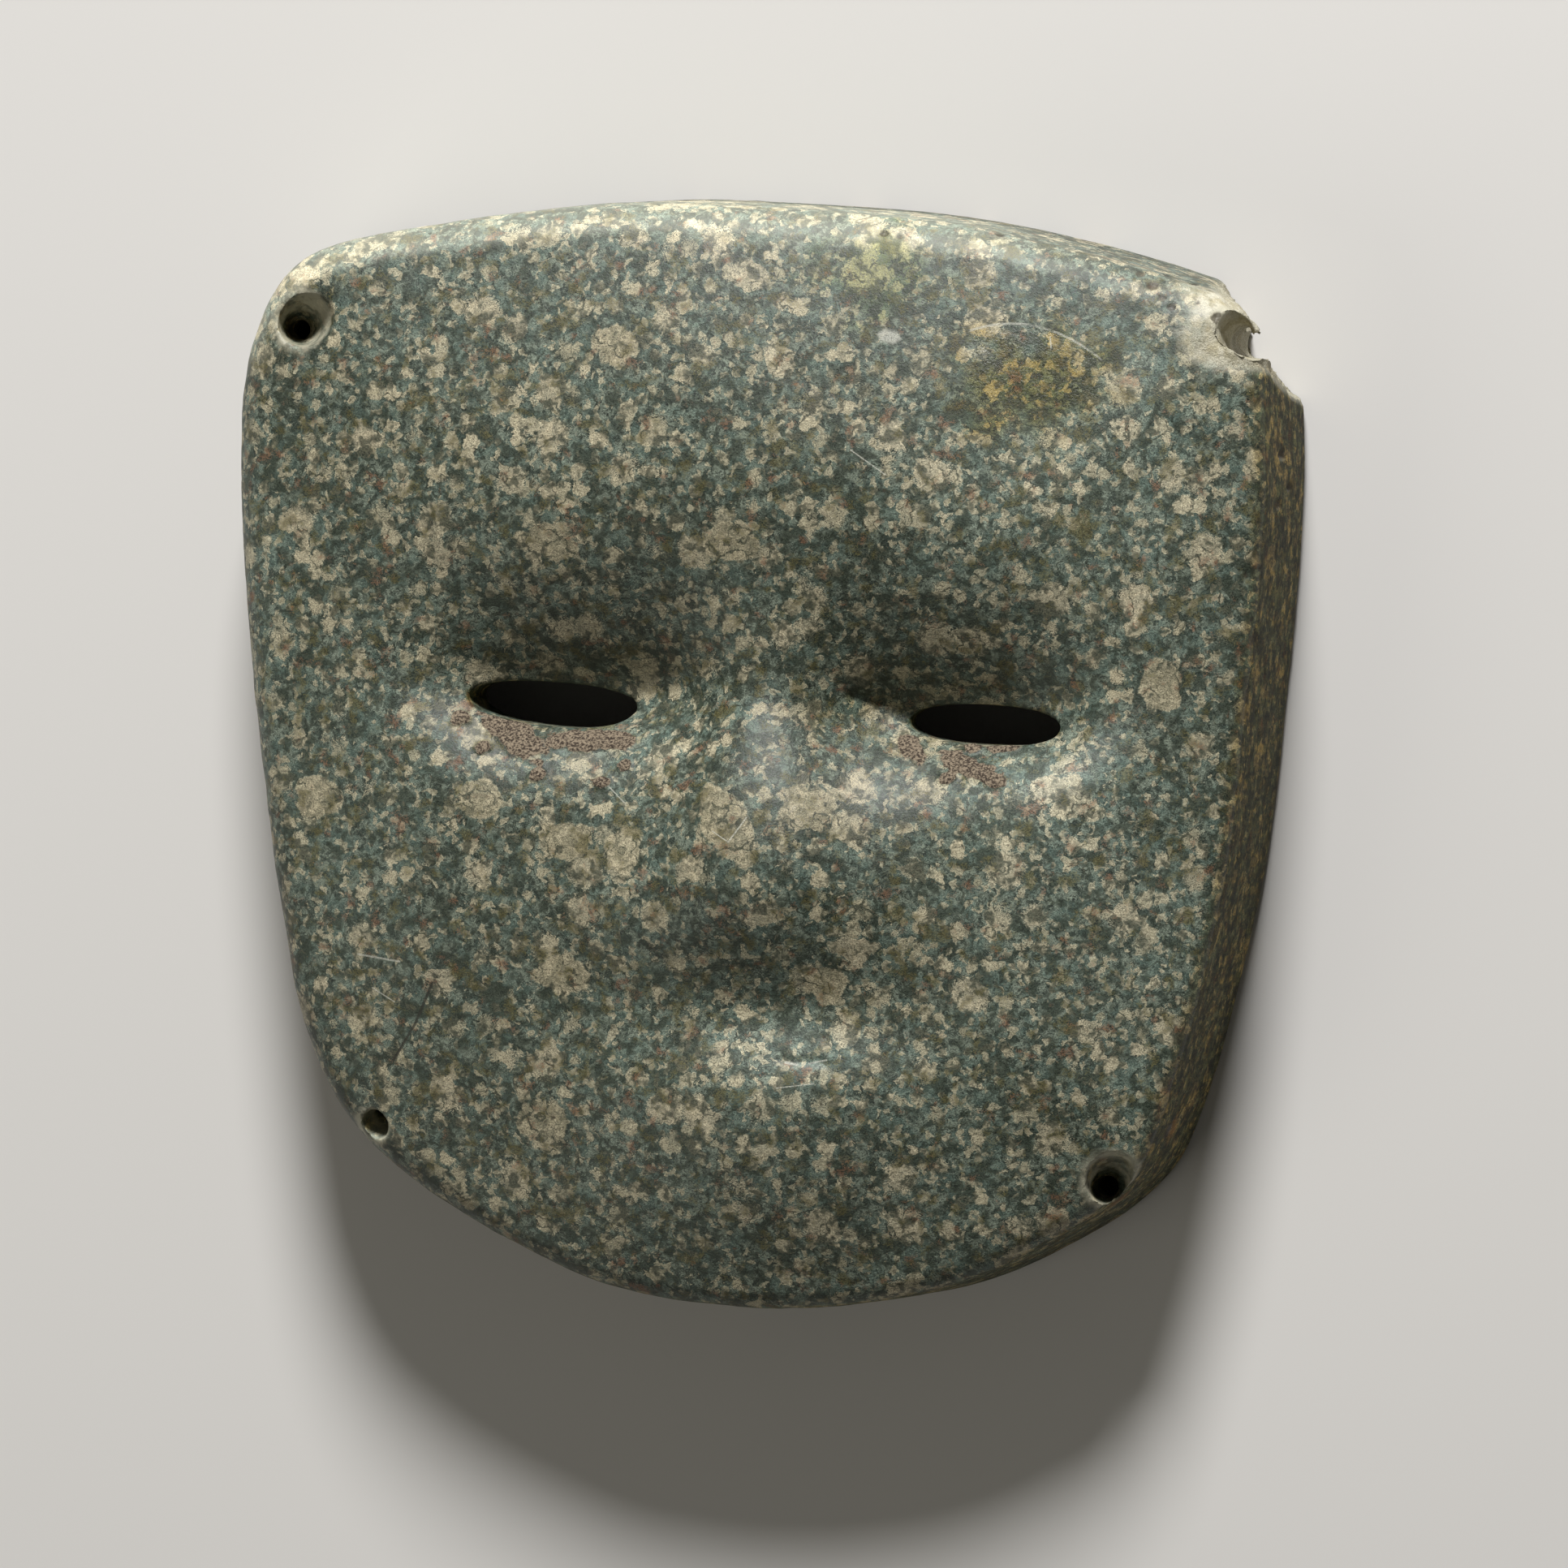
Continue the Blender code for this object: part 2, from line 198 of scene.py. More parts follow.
# Single pits, in millimetres: middle, half width across, up and through, and depth
PITS = (
    (69.4, 62.8, 28.1, 1.0, 1.0, 1.5, 0.7),
    (21.0, 75.1, 27.7, 1.0, 0.6, 1.5, 0.4),
    (37.2, 75.2, 25.0, 1.1, 0.7, 1.5, 0.4),
    (61.4, 69.3, 22.0, 1.3, 0.6, 2.5, 0.5),
    (64.6, 68.0, 21.0, 1.0, 0.6, 2.5, 0.5),
    (76.6, 43.3, 16.0, 1.5, 0.7, 2.4, 0.5),
    (76.8, 38.6, 11.6, 1.5, 0.6, 2.2, 0.5),
    (76.4, 36.2, 17.9, 1.5, 0.6, 2.6, 0.4),
    (74.0, 26.0, 25.5, 1.6, 1.4, 1.6, 0.4),
    (73.6, 17.5, 25.0, 1.6, 1.2, 1.6, 0.3),
    (60.8, -53.2, 19.0, 1.6, 1.6, 2.0, 0.5),
    (57.7, 69.2, 25.5, 1.0, 0.8, 1.5, 0.35),
    (59.6, 67.4, 27.0, 1.0, 0.8, 1.5, 0.40),
    (61.4, 65.6, 28.0, 0.9, 0.8, 1.5, 0.35),
    (62.6, 64.3, 28.6, 0.8, 0.7, 1.5, 0.35),
)

# Thin straight marks on the face, in millimetres: start, end and half width
LIGHT_MARKS = (
    ((-56.2, -28.7), (-49.5, -29.6), 0.13),
    ((-54.0, -33.5), (-50.5, -35.5), 0.09),
    ((7.6, -46.6), (13.0, -45.9), 0.08),
    ((8.6, -43.0), (10.4, -43.3), 0.16),
    ((12.0, -43.1), (14.6, -42.6), 0.12),
    ((21.9, 60.3), (23.7, 59.9), 0.85),
    ((45.7, 60.0), (45.9, 58.4), 0.10),
    ((4.0, -8.0), (1.5, -11.5), 0.10),
    ((1.5, -11.5), (-1.0, -10.0), 0.08),
    ((18.0, 44.0), (23.0, 40.5), 0.09),
    ((-19.0, -3.0), (-15.0, -6.5), 0.08),
)
DARK_MARKS = (
    ((-44.6, -32.7), (-47.4, -38.6), 0.22),
    ((-47.4, -38.6), (-51.0, -44.0), 0.20),
)

# Grooves worn into the face, in millimetres: start, end, half width and depth
GROOVES = (
    (17.0, 8.8, 27.0, 4.9, 1.6, 0.55),
    (-44.6, -32.7, -47.4, -38.6, 0.8, 0.25),
    (-47.4, -38.6, -51.0, -44.0, 0.8, 0.22),
    (7.8, -42.7, 14.6, -42.8, 0.9, 0.35),
)

# Olive and mossy parts of the face, in millimetres: middle, half width and half height
TINTS = (
    ("olive", 43.0, 54.0, 11.5, 8.0),
    ("olive", 37.5, 47.5, 4.0, 3.0),
    ("moss", 20.0, 69.0, 10.0, 7.0),
)

# Paler patches, partly worn paler and partly painted light where the face catches the light: the right of
# the face, the lower lids, the mouth band, under the nose and the left edge, in millimetres: middle, half
# width, half height and strength
PAINTED_LIGHT_PATCHES = (
    (48.0, 42.0, 26.0, 30.0, 0.52),
    (50.0, -22.0, 20.0, 26.0, 0.70),
    (10.0, -60.0, 40.0, 20.0, 0.45),
    (46.0, -1.5, 14.0, 5.0, 0.85),
    (-14.0, 1.0, 10.0, 5.0, 0.45),
    (9.0, -42.0, 13.0, 6.0, 0.78),
    (-14.0, -14.0, 8.0, 9.0, 0.35),
    (4.0, -26.0, 15.0, 6.0, 0.75),
    (-58.0, -12.0, 14.0, 26.0, 0.30),
    (-73.0, 12.0, 6.0, 45.0, 0.60),
)

# The most noticeable pale grains, in millimetres: middle, half width, half height and turn in degrees
LARGE_GRAINS = (
    (-24, -12, 3.6, 3.0, 0),
    (-15, -13, 3.0, 3.5, 0),
    (1, -9, 3.5, 6.0, 35),
    (12, -7, 3.9, 3.5, 0),
    (-37, -6, 3.6, 3.0, 0),
    (14, -32, 3.2, 2.8, 0),
    (-24, -31, 4.5, 3.0, 0),
    (-17, 59, 3.8, 3.0, 0),
    (-27, 31, 4.8, 2.8, 0),
    (1, 31, 3.8, 2.6, 0),
    (62, 11, 3.0, 3.8, 0),
    (-62, -6, 3.6, 3.0, 0),
    (-28, -53, 3.6, 4.2, 20),
)

# The stone laid bare round the broken corner, its pale colour partly painted light in the shaded hole
# there, in millimetres: middle and half sizes
BARE_AND_LIT_CORNER = ((70.5, 62.5, 26.0), (8.0, 8.0, 9.0))

# Old film on the forehead, in millimetres: middle, half width and height, and the crest and bend of its lip
FILM_MIDDLE = 43.6
FILM_HALF_WIDTH = 9.8
FILM_HEIGHT = 13.0
FILM_CREST = (40.0, 61.9)
FILM_BEND = 0.030

# Rust by the lashing holes, in millimetres: middle and radius
STAINS = (
    (53.8, -63.2, 20.1, 2.6),
    (61.0, -53.2, 16.3, 2.4),
    (71.5, 60.5, 19.0, 2.6),
)

# Mouths of the lashing holes, in millimetres: middle, radius of the pale ring, and how pale it is inside,
# which is partly painted light on the cone's walls
RINGS_AND_LIT_CONES = (
    (-65.3, 62.9, 28.5, 3.9, 1.00),
    (-54.7, -53.6, 27.0, 2.4, 0.25),
    (54.2, -59.8, 28.0, 3.9, 0.20),
    (73.0, 62.0, 28.0, 3.9, 1.00),
)

# The stone's own colours, and the darker and the paler end where they vary
GROUND = ((0.028, 0.039, 0.029), (0.134, 0.159, 0.122))
TEAL = (0.076, 0.115, 0.095)
FLECK = (0.322, 0.292, 0.196)
MIDDLE_GRAIN = ((0.196, 0.186, 0.122), (0.384, 0.340, 0.228))
WIDE_GRAIN = ((0.262, 0.240, 0.158), (0.406, 0.354, 0.238))
WIDE_GRAIN_SHADE = (0.120, 0.132, 0.098)
LARGEST_GRAIN = ((0.182, 0.166, 0.106), (0.340, 0.298, 0.196))
DARK_GRAIN = (0.022, 0.030, 0.019)
OLIVE_GRAIN = (0.072, 0.062, 0.018)
RUST_GRAIN = (0.140, 0.066, 0.034)

# Colours of its broken faces, holes, marks and dirt, some partly painted light in the broken corner and
# inside the holes
FRACTURE = ((0.26, 0.235, 0.155), (0.58, 0.55, 0.43))
CHALK_AND_LIT = ((0.38, 0.34, 0.22), (0.60, 0.57, 0.45))
# partly painted light: also put inside the cones of two holes
HOLE_MOUTH_AND_LIT_CONE = (0.42, 0.40, 0.30)
PIT = (0.046, 0.036, 0.024)
SCRATCH = (0.48, 0.48, 0.41)
FISSURE = (0.020, 0.020, 0.014)
RUST_STAIN = (0.240, 0.120, 0.045)
EARTH = ((0.038, 0.027, 0.018), (0.250, 0.200, 0.140))

# Factors that the stone's colour is multiplied by, and what is added to it where it is worn pale or painted
# lighter
WORN_AND_LIT_PALE = ((1.50, 1.48, 1.42), (0.116, 0.115, 0.100))
# painted light: a slightly bluish lift, like a sheen, for the pale patches
PAINTED_LIGHT_LIFT = ((1.42, 1.44, 1.48), (0.016, 0.018, 0.017))
# partly brown stain, partly painted shade on the walls
SIDE_STAIN_AND_SHADE = (0.90, 0.78, 0.48)
TINT_FACTORS = {"olive": (0.66, 0.54, 0.24), "moss": (0.68, 0.74, 0.52)}
RIGHT_WALL_TINTS = ((0.50, 0.44, 0.30), (1.22, 1.08, 0.76))

# Lights: place in metres, size, power and colour, and the plain light from all round
LIGHTS = {
    "key": ((0.13, 1.50, 0.96), 0.50, 53.0, (1.0, 0.99, 0.985)),
    "fill": ((-1.05, -0.75, 1.00), 1.00, 4.0, (1.0, 0.97, 0.88)),
}
ROOM_COLOUR = (0.90, 0.86, 0.76)
ROOM_STRENGTH = 0.100
FLOOR_COLOUR = (0.62, 0.61, 0.59)

# Camera: where it looks, how far off it is, and how it is turned from straight above
CAMERA_TARGET = Vector((0.0045, -0.0040, 0.0200))
CAMERA_DISTANCE = 1.300
CAMERA_YAW = radians(13.0)
CAMERA_PITCH = radians(2.0)
CAMERA_LENS = 207.35
CAMERA_SENSOR = 36.0


def smooth_loop(corners, count):
    """Points spaced evenly along a smooth closed curve through the given corners."""
    corners = np.asarray(corners, float)
    before = np.roll(corners, 1, axis=0)
    after = np.roll(corners, -1, axis=0)
    beyond = np.roll(corners, -2, axis=0)
    rows = []
    for k in range(CURVE_STEPS):
        t = k / CURVE_STEPS
        bend = 2.0 * before - 5.0 * corners + 4.0 * after - beyond
        twist = 3.0 * corners - before - 3.0 * after + beyond
        rows.append(corners + 0.5 * ((after - before) * t + bend * t**2 + twist * t**3))
    fine = np.stack(rows, axis=1).reshape(-1, 2)
    closed = np.vstack([fine, fine[:1]])
    run = np.concatenate([[0.0], np.cumsum(np.linalg.norm(np.diff(closed, axis=0), axis=1))])
    places = np.linspace(0.0, run[-1], count, endpoint=False)
    return np.column_stack([np.interp(places, run, closed[:, axis]) for axis in (0, 1)])


def outward(loop):
    """The outward normal at each point of a clockwise loop."""
    along = np.roll(loop, -1, axis=0) - np.roll(loop, 1, axis=0)
    along /= np.linalg.norm(along, axis=1)[:, None]
    return np.column_stack([-along[:, 1], along[:, 0]])


def ramp(value, start, end):
    """A smooth step from nought at the start to one at the end."""
    t = np.clip((value - start) / (end - start), 0.0, 1.0)
    return t * t * (3.0 - 2.0 * t)


def mound(x, y, place, spread, power=2.0):
    """A soft mound of height one at its place, which may fall away faster below than above."""
    across, below, above = spread
    tall = np.where(y < place[1], below, above)
    return np.exp(-(np.abs((x - place[0]) / across) ** power) - ((y - place[1]) / tall) ** 2)


def socket(x, y, place):
    """Depth share of one eye hollow, a broad wedge under the brow that is deepest along the slit."""
    bent = y - SOCKET_BEND * (x - place[0]) ** 2
    wide = mound(x, bent, place, SOCKET_WIDE, SOCKET_POWER)
    near = mound(x, bent, place, SOCKET_NEAR, SOCKET_POWER)
    return SOCKET_WIDE_PART * wide + (1.0 - SOCKET_WIDE_PART) * near


def nose(x, y):
    """Height share of the nose, a low wedge that widens down to its tip."""
    down = (NOSE_ROOT[1] - y) / (NOSE_ROOT[1] - NOSE_TIP[1])
    ridge = NOSE_ROOT[0] + (NOSE_TIP[0] - NOSE_ROOT[0]) * down
    half = NOSE_ROOT_HALF + (NOSE_TIP_HALF - NOSE_ROOT_HALF) * np.clip(down, 0.0, 1.2)
    section = 1.0 / (1.0 + (np.abs(x - ridge) / half) ** NOSE_POWER)
    rise = NOSE_ROOT_PART + (1.0 - NOSE_ROOT_PART) * ramp(down, 0.05, 0.95)
    from_brow = ramp(y, NOSE_ROOT[1] + 0.20, NOSE_ROOT[1] - 0.06)
    to_lip = ramp(y, NOSE_TIP[1] - NOSE_UNDERSIDE, NOSE_TIP[1] + 0.02)
    return section * rise * from_brow * to_lip


def relief(x, y):
    """Carved height in metres over the plain domed face, at places given as shares."""
    height = NOSE_RISE * nose(x, y)
    height = height + CHIN_RISE * mound(x, y, CHIN, CHIN_SPREAD)
    height = height + BROW_RISE * mound(x, y, BROW, BROW_SPREAD)
    height = height + LEFT_CHEEK_RISE * mound(x, y, LEFT_CHEEK, CHEEK_SPREAD)
    height = height + RIGHT_CHEEK_RISE * mound(x, y, RIGHT_CHEEK, CHEEK_SPREAD)
    return height - SOCKET_DEPTH * (socket(x, y, LEFT_SOCKET) + socket(x, y, RIGHT_SOCKET))


def front_height(points, share):
    """Height of the front face at a share of the way from its centre to its edge."""
    dome = DOME_RISE * (1.0 - share**DOME_POWER)
    fade = 1.0 - share**FADE_POWER
    return EDGE_HEIGHT + dome + relief(points[:, 0] / HALF_W, points[:, 1] / HALF_H) * fade


def edge_round(normals):
    """Radius of the front edge at each point of the outline."""
    right = np.clip(normals[:, 0], 0.0, 1.0) ** 2
    left = np.clip(-normals[:, 0], 0.0, 1.0) ** 2
    top = np.clip(normals[:, 1], 0.0, 1.0) ** 2
    bottom = np.clip(-normals[:, 1], 0.0, 1.0) ** 2
    return ROUND_RIGHT * right + ROUND_LEFT * left + ROUND_TOP * top + ROUND_BOTTOM * bottom


def mask_rings():
    """Rings of points from the middle of the front, over the edge, to the middle of the hollow."""
    loop = smooth_loop([(x * HALF_W, y * HALF_H) for x, y in OUTLINE], SEGMENTS)
    normals = outward(loop)
    middle = np.array([CENTRE[0] * HALF_W, CENTRE[1] * HALF_H])
    radius = edge_round(normals)
    wall_top = EDGE_HEIGHT - radius * cos(EDGE_SLOPE)
    lean = (wall_top - ROUND_BACK) * tan(WALL_LEAN)
    rings = []

    def ring(inset, height):
        flat = loop - normals * np.broadcast_to(inset, len(loop))[:, None]
        rings.append(np.column_stack([flat, np.broadcast_to(height, len(loop))]))

    face_edge = loop - normals * (lean + radius * (1.0 - sin(EDGE_SLOPE)))[:, None]
    for k in range(1, FRONT_RINGS + 1):
        share = k / FRONT_RINGS
        flat = middle + (face_edge - middle) * share
        rings.append(np.column_stack([flat, front_height(flat, share)]))
    for k in range(1, ROUND_STEPS + 1):
        turn = EDGE_SLOPE + (pi / 2 - EDGE_SLOPE) * k / ROUND_STEPS
        ring(lean + radius * (1.0 - sin(turn)), wall_top + radius * cos(turn))
    for k in range(1, WALL_STEPS + 1):
        down = k / WALL_STEPS
        ring(lean * (1.0 - down), wall_top + (ROUND_BACK - wall_top) * down)
    for turn in (pi / 6, pi / 3, pi / 2):
        ring(ROUND_BACK * (1.0 - cos(turn)), ROUND_BACK * (1.0 - sin(turn)))
    rim_edge = middle + hollow_outline(loop - middle)
    rings.append(np.column_stack([rim_edge, np.zeros(len(loop))]))
    depth = hollow_depth()
    for k in range(1, HOLLOW_RINGS + 1):
        turn = 0.5 * pi * (k / (HOLLOW_RINGS + 0.5)) ** 0.9
        flat = middle + (rim_edge - middle) * cos(turn) ** 0.6
        rings.append(np.column_stack([flat, np.full(len(loop), depth * sin(turn) ** 0.85)]))
    return rings


def hollow_outline(spokes):
    """The hollow's edge along each spoke from the middle: a rounded oblong, narrower to the chin."""
    reach = np.linalg.norm(spokes, axis=1)
    across = spokes[:, 0] / reach
    up = spokes[:, 1] / reach
    inset = ROUND_BACK + RIM_WIDTH
    half_wide = (HALF_W * 0.965 - inset) * (0.970 + 0.045 * up)
    half_high = HALF_H * np.where(up > 0, 1.0 - CENTRE[1], 1.0 + CENTRE[1]) - inset
    power = 2.5 + 0.4 * up
    radius = (np.abs(across / half_wide) ** power + np.abs(up / half_high) ** power) ** (-1.0 / power)
    return spokes / reach[:, None] * radius[:, None]


def hollow_depth():
    """Height of the hollow's ceiling, which leaves about the eye wall at the lower of the two eyes."""
    lowest = []
    for eye_x, eye_y in (LEFT_EYE, RIGHT_EYE):
        place = np.array([[eye_x * HALF_W, eye_y * HALF_H]])
        share = np.array([np.hypot(eye_x - CENTRE[0], eye_y - CENTRE[1])])
        lowest.append(front_height(place, share)[0])
    return min(lowest) - EYE_WALL


def loft(rings, first_cap, last_cap):
    """A closed mesh through the rings, with a point at each end."""
    made = bmesh.new()
    first = made.verts.new(first_cap)
    last = made.verts.new(last_cap)
    rows = [[made.verts.new(point) for point in ring] for ring in rings]
    count = len(rows[0])
    for j in range(count):
        after = (j + 1) % count
        made.faces.new((first, rows[0][after], rows[0][j]))
        made.faces.new((last, rows[-1][j], rows[-1][after]))
        for inner, outer in zip(rows, rows[1:]):
            made.faces.new((inner[j], inner[after], outer[after], outer[j]))
    bmesh.ops.recalc_face_normals(made, faces=made.faces)
    bmesh.ops.triangulate(made, faces=made.faces)
    return made


def add_object(made, name):
    mesh = bpy.data.meshes.new(name)
    made.to_mesh(mesh)
    made.free()
    item = bpy.data.objects.new(name, mesh)
    bpy.context.scene.collection.objects.link(item)
    return item


def prism(name, loop, low, high):
    """A cutter with a flat outline, from one height to another."""
    made = bmesh.new()
    base = made.faces.new([made.verts.new((x, y, low)) for x, y in loop])
    lifted = bmesh.ops.extrude_face_region(made, geom=[base])["geom"]
    corners = [part for part in lifted if isinstance(part, bmesh.types.BMVert)]
    bmesh.ops.translate(made, verts=corners, vec=(0.0, 0.0, high - low))
    bmesh.ops.recalc_face_normals(made, faces=made.faces)
    return add_object(made, name)


def slit_cutter(name, eye, tilt, half_length, above, below):
    """An eye slit: a pointed oval with its own share of the half height above and below its axis."""
    loop = []
    for k in range(SLIT_SIDES):
        turn = 2.0 * pi * k / SLIT_SIDES
        half = SLIT_HALF_HEIGHT * (above if sin(turn) > 0 else below)
        x = half_length * np.sign(cos(turn)) * abs(cos(turn)) ** 0.85
        y = half * np.sign(sin(turn)) * abs(sin(turn)) ** 0.90
        across = eye[0] * HALF_W + x * cos(tilt) - y * sin(tilt)
        up = eye[1] * HALF_H + x * sin(tilt) + y * cos(tilt)
        loop.append((across, up))
    return prism(name, loop, -OVERCUT, EDGE_HEIGHT + DOME_RISE + NOSE_RISE + OVERCUT)


def drill_cone(name, mouth, tip, mouth_radius, tip_radius):
    """A tapered hole from its mouth to its tip, run on past both ends."""
    axis = tip - mouth
    taper = (mouth_radius - tip_radius) / axis.length
    start = mouth - axis.normalized() * OVERCUT
    end = tip + axis.normalized() * tip_radius
    made = bmesh.new()
    bmesh.ops.create_cone(
        made,
        cap_ends=True,
        segments=DRILL_SIDES,
        radius1=mouth_radius + taper * OVERCUT,
        radius2=tip_radius,
        depth=(end - start).length,
    )
    item = add_object(made, name)
    item.rotation_mode = "QUATERNION"
    item.rotation_quaternion = axis.to_track_quat("Z", "Y")
    item.location = (start + end) / 2
    return item


def lashing_hole(name, place, lean, mouth_radius):
    """Cutters for one lashing hole: a leaning cone from the front, and an upright one from the back."""
    mouth = Vector((place[0] * HALF_W, place[1] * HALF_H, EDGE_HEIGHT))
    throat = mouth + Vector((lean[0], lean[1], -1.0)).normalized() * DRILL_DEPTH
    back = Vector((throat.x, throat.y, 0.0))
    return [
        drill_cone(name + "_front", mouth, throat, mouth_radius, DRILL_THROAT),
        drill_cone(name + "_back", back, throat, DRILL_BACK, DRILL_THROAT),
    ]


def chip_cutter(name, place, below_edge, size, turn):
    """A rough lump that takes a chip out, placed by shares and a depth below the front's edge."""
    made = bmesh.new()
    bmesh.ops.create_icosphere(made, subdivisions=4, radius=1.0)
    for corner in made.verts:
        x, y, z = corner.co
        swell = 0.07 * sin(5.0 * x + turn) * cos(4.0 * y - turn) + 0.04 * sin(6.0 * z + 2.0 * turn)
        corner.co *= 1.0 + swell
    item = add_object(made, name)
    item.scale = size
    item.location = (place[0] * HALF_W, place[1] * HALF_H, EDGE_HEIGHT - below_edge)
    return item


def settle(item):
    """Replaces an object's mesh by what its modifiers make of it."""
    seen = item.evaluated_get(bpy.context.evaluated_depsgraph_get())
    old = item.data
    item.data = bpy.data.meshes.new_from_object(seen)
    item.modifiers.clear()
    bpy.data.meshes.remove(old)


def carved_form():
    """The mask's whole form before weathering, in even small faces."""
    middle = np.array([[CENTRE[0] * HALF_W, CENTRE[1] * HALF_H]])
    top = front_height(middle, np.array([0.0]))[0]
    item = add_object(loft(mask_rings(), (*middle[0], top), (*middle[0], hollow_depth())), "stone")
    cutters = [slit_cutter(name, *details) for name, details in SLITS.items()]
    for name, details in LASHING_HOLES.items():
        cutters += lashing_hole(name, *details)
    cutters += [chip_cutter(name, *details) for name, details in BREAKS.items()]
    for cutter in cutters:
        step = item.modifiers.new(cutter.name, "BOOLEAN")
        step.operation = "DIFFERENCE"
        step.solver = "EXACT"
        step.object = cutter
    step = item.modifiers.new("even", "REMESH")
    step.mode = "VOXEL"
    step.voxel_size = VOXEL
    settle(item)
    for cutter in cutters:
        bpy.data.objects.remove(cutter, do_unlink=True)
    return item


def scatter(cells, seed):
    """A fixed share between nought and one for each whole-numbered cell."""
    x, y, z = (cells[:, axis].astype(np.uint32) for axis in range(3))
    mixed = x * np.uint32(0x8DA6B343) ^ y * np.uint32(0xD8163841) ^ z * np.uint32(0xCB1AB31F)
    mixed = mixed ^ np.uint32((seed * 0x9E3779B1) % 2**32)
    for shift, factor in ((15, 0x2C1B3C6D), (12, 0x297A2D39)):
        mixed = (mixed ^ (mixed >> np.uint32(shift))) * np.uint32(factor)
    return (mixed ^ (mixed >> np.uint32(15))) / 2.0**32


def drift(points, size, seed):
    """Smooth noise between minus one and one, with bumps of about the given size."""
    scaled = points / size
    base = np.floor(scaled).astype(np.int64)
    part = scaled - base
    part = part * part * (3.0 - 2.0 * part)
    total = np.zeros(len(points))
    for corner in product((0, 1), repeat=3):
        weight = np.prod(np.where(np.array(corner), part, 1.0 - part), axis=1)
        total += weight * scatter(base + corner, seed)
    return 2.0 * total - 1.0


def pitting(points, spacing, radius, share, seed):
    """Depth share of small round pits, one at most in each cell of the given spacing."""
    scaled = points / spacing
    base = np.floor(scaled).astype(np.int64)
    depth = np.zeros(len(points))
    for step in product((-1, 0, 1), repeat=3):
        cell = base + step
        middle = cell + np.column_stack([scatter(cell, seed + k) for k in range(3)])
        size = radius / spacing * (0.4 + 0.6 * scatter(cell, seed + 3))
        gap = np.linalg.norm(scaled - middle, axis=1) / size
        present = scatter(cell, seed + 4) < share
        depth = np.maximum(depth, np.where(present, np.clip(1.0 - gap**2, 0.0, 1.0), 0.0))
    return depth


def oval_gap(places, across, up, half_wide, half_high, degrees=0.0):
    """How far places in millimetres are from the middle of an oval, as a share of its half sizes."""
    turn = radians(degrees)
    x = places[:, 0] - across
    y = places[:, 1] - up
    along = x * cos(turn) + y * sin(turn)
    aside = y * cos(turn) - x * sin(turn)
    return np.hypot(along / half_wide, aside / half_high)


def patches(points, wobble):
    """How much each point is inside a patch of dried earth, from nought to one."""
    inside = np.zeros(len(points))
    for oval in CRUST:
        inside = np.maximum(inside, ramp(oval_gap(points * 1000.0, *oval) + 0.30 * wobble, 1.25, 0.75))
    return inside


def grooves(places):
    """Depth in millimetres of the worn grooves at places given in millimetres."""
    deep = np.zeros(len(places))
    for x0, y0, x1, y1, half_width, depth in GROOVES:
        run = np.array([x1 - x0, y1 - y0])
        offset = places[:, :2] - (x0, y0)
        along = np.clip(offset @ run / (run @ run), 0.0, 1.0)
        gap = np.linalg.norm(offset - along[:, None] * run, axis=1) / half_width
        deep = np.maximum(deep, depth * ramp(gap, 1.0, 0.0))
    return deep


def near_break(points):
    """How close each point is to the face of a broken lump, from nought to one."""
    found = np.zeros(len(points))
    for place, below_edge, size, _turn in BREAKS.values():
        middle = np.array([place[0] * HALF_W, place[1] * HALF_H, EDGE_HEIGHT - below_edge])
        gap = np.abs(np.linalg.norm((points - middle) / np.array(size), axis=1) - 1.0) * min(size)
        found = np.maximum(found, ramp(gap, 0.0030, 0.0012))
    return found


def pits(points, edge, wobble):
    """Depth share of the pits scattered over the face and its edge, and of the single ones."""
    dug = np.maximum(pitting(points, *FACE_PITS), edge * pitting(points, *EDGE_PITS))
    for across, up, through, wide, high, deep, depth in PITS:
        gaps = (points * 1000.0 - (across, up, through)) / (wide, high, deep)
        gap = np.linalg.norm(gaps, axis=1) + 0.25 * wobble
        dug = np.maximum(dug, ramp(gap, 1.1, 0.3) * depth / FULL_PIT)
    return dug


def waves(points, layers):
    """Depth in metres of some layers of smooth waves."""
    return sum(depth * (1.0 + drift(points, size, seed)) for depth, size, seed in layers)


def rust(points, wobble):
    """How rusty each point is, from nought to one."""
    found = np.zeros(len(points))
    for across, up, through, radius in STAINS:
        gap = np.linalg.norm(points * 1000.0 - (across, up, through), axis=1) / radius
        found = np.maximum(found, ramp(gap + 0.30 * wobble, 1.1, 0.4))
    return found


def hole_mouths_and_lit_cones(points, wobble):
    """How much each point is on the pale mouth of a lashing hole or inside its cone, where the pale is
    partly painted light, from nought to one.
    """
    found = np.zeros(len(points))
    for across, up, through, radius, inner in RINGS_AND_LIT_CONES:
        gap = np.linalg.norm(points * 1000.0 - (across, up, through), axis=1) - radius
        found = np.maximum(found, ramp(np.abs(gap - 0.2) + 0.3 * wobble, 1.0, 0.2))
        # partly painted light: the inside of the cone made pale
        found = np.maximum(found, inner * ramp(gap, 0.4, -0.4))
    return found


def tint(kind, points, wobble):
    """How much each point has one kind of tint, from nought to one."""
    found = np.zeros(len(points))
    ragged = 0.45 * drift(points, 0.0036, 9) + 0.25 * wobble
    for name, *oval in TINTS:
        if name == kind:
            found = np.maximum(found, ramp(oval_gap(points * 1000.0, *oval) + ragged, 1.2, 0.5))
    return found


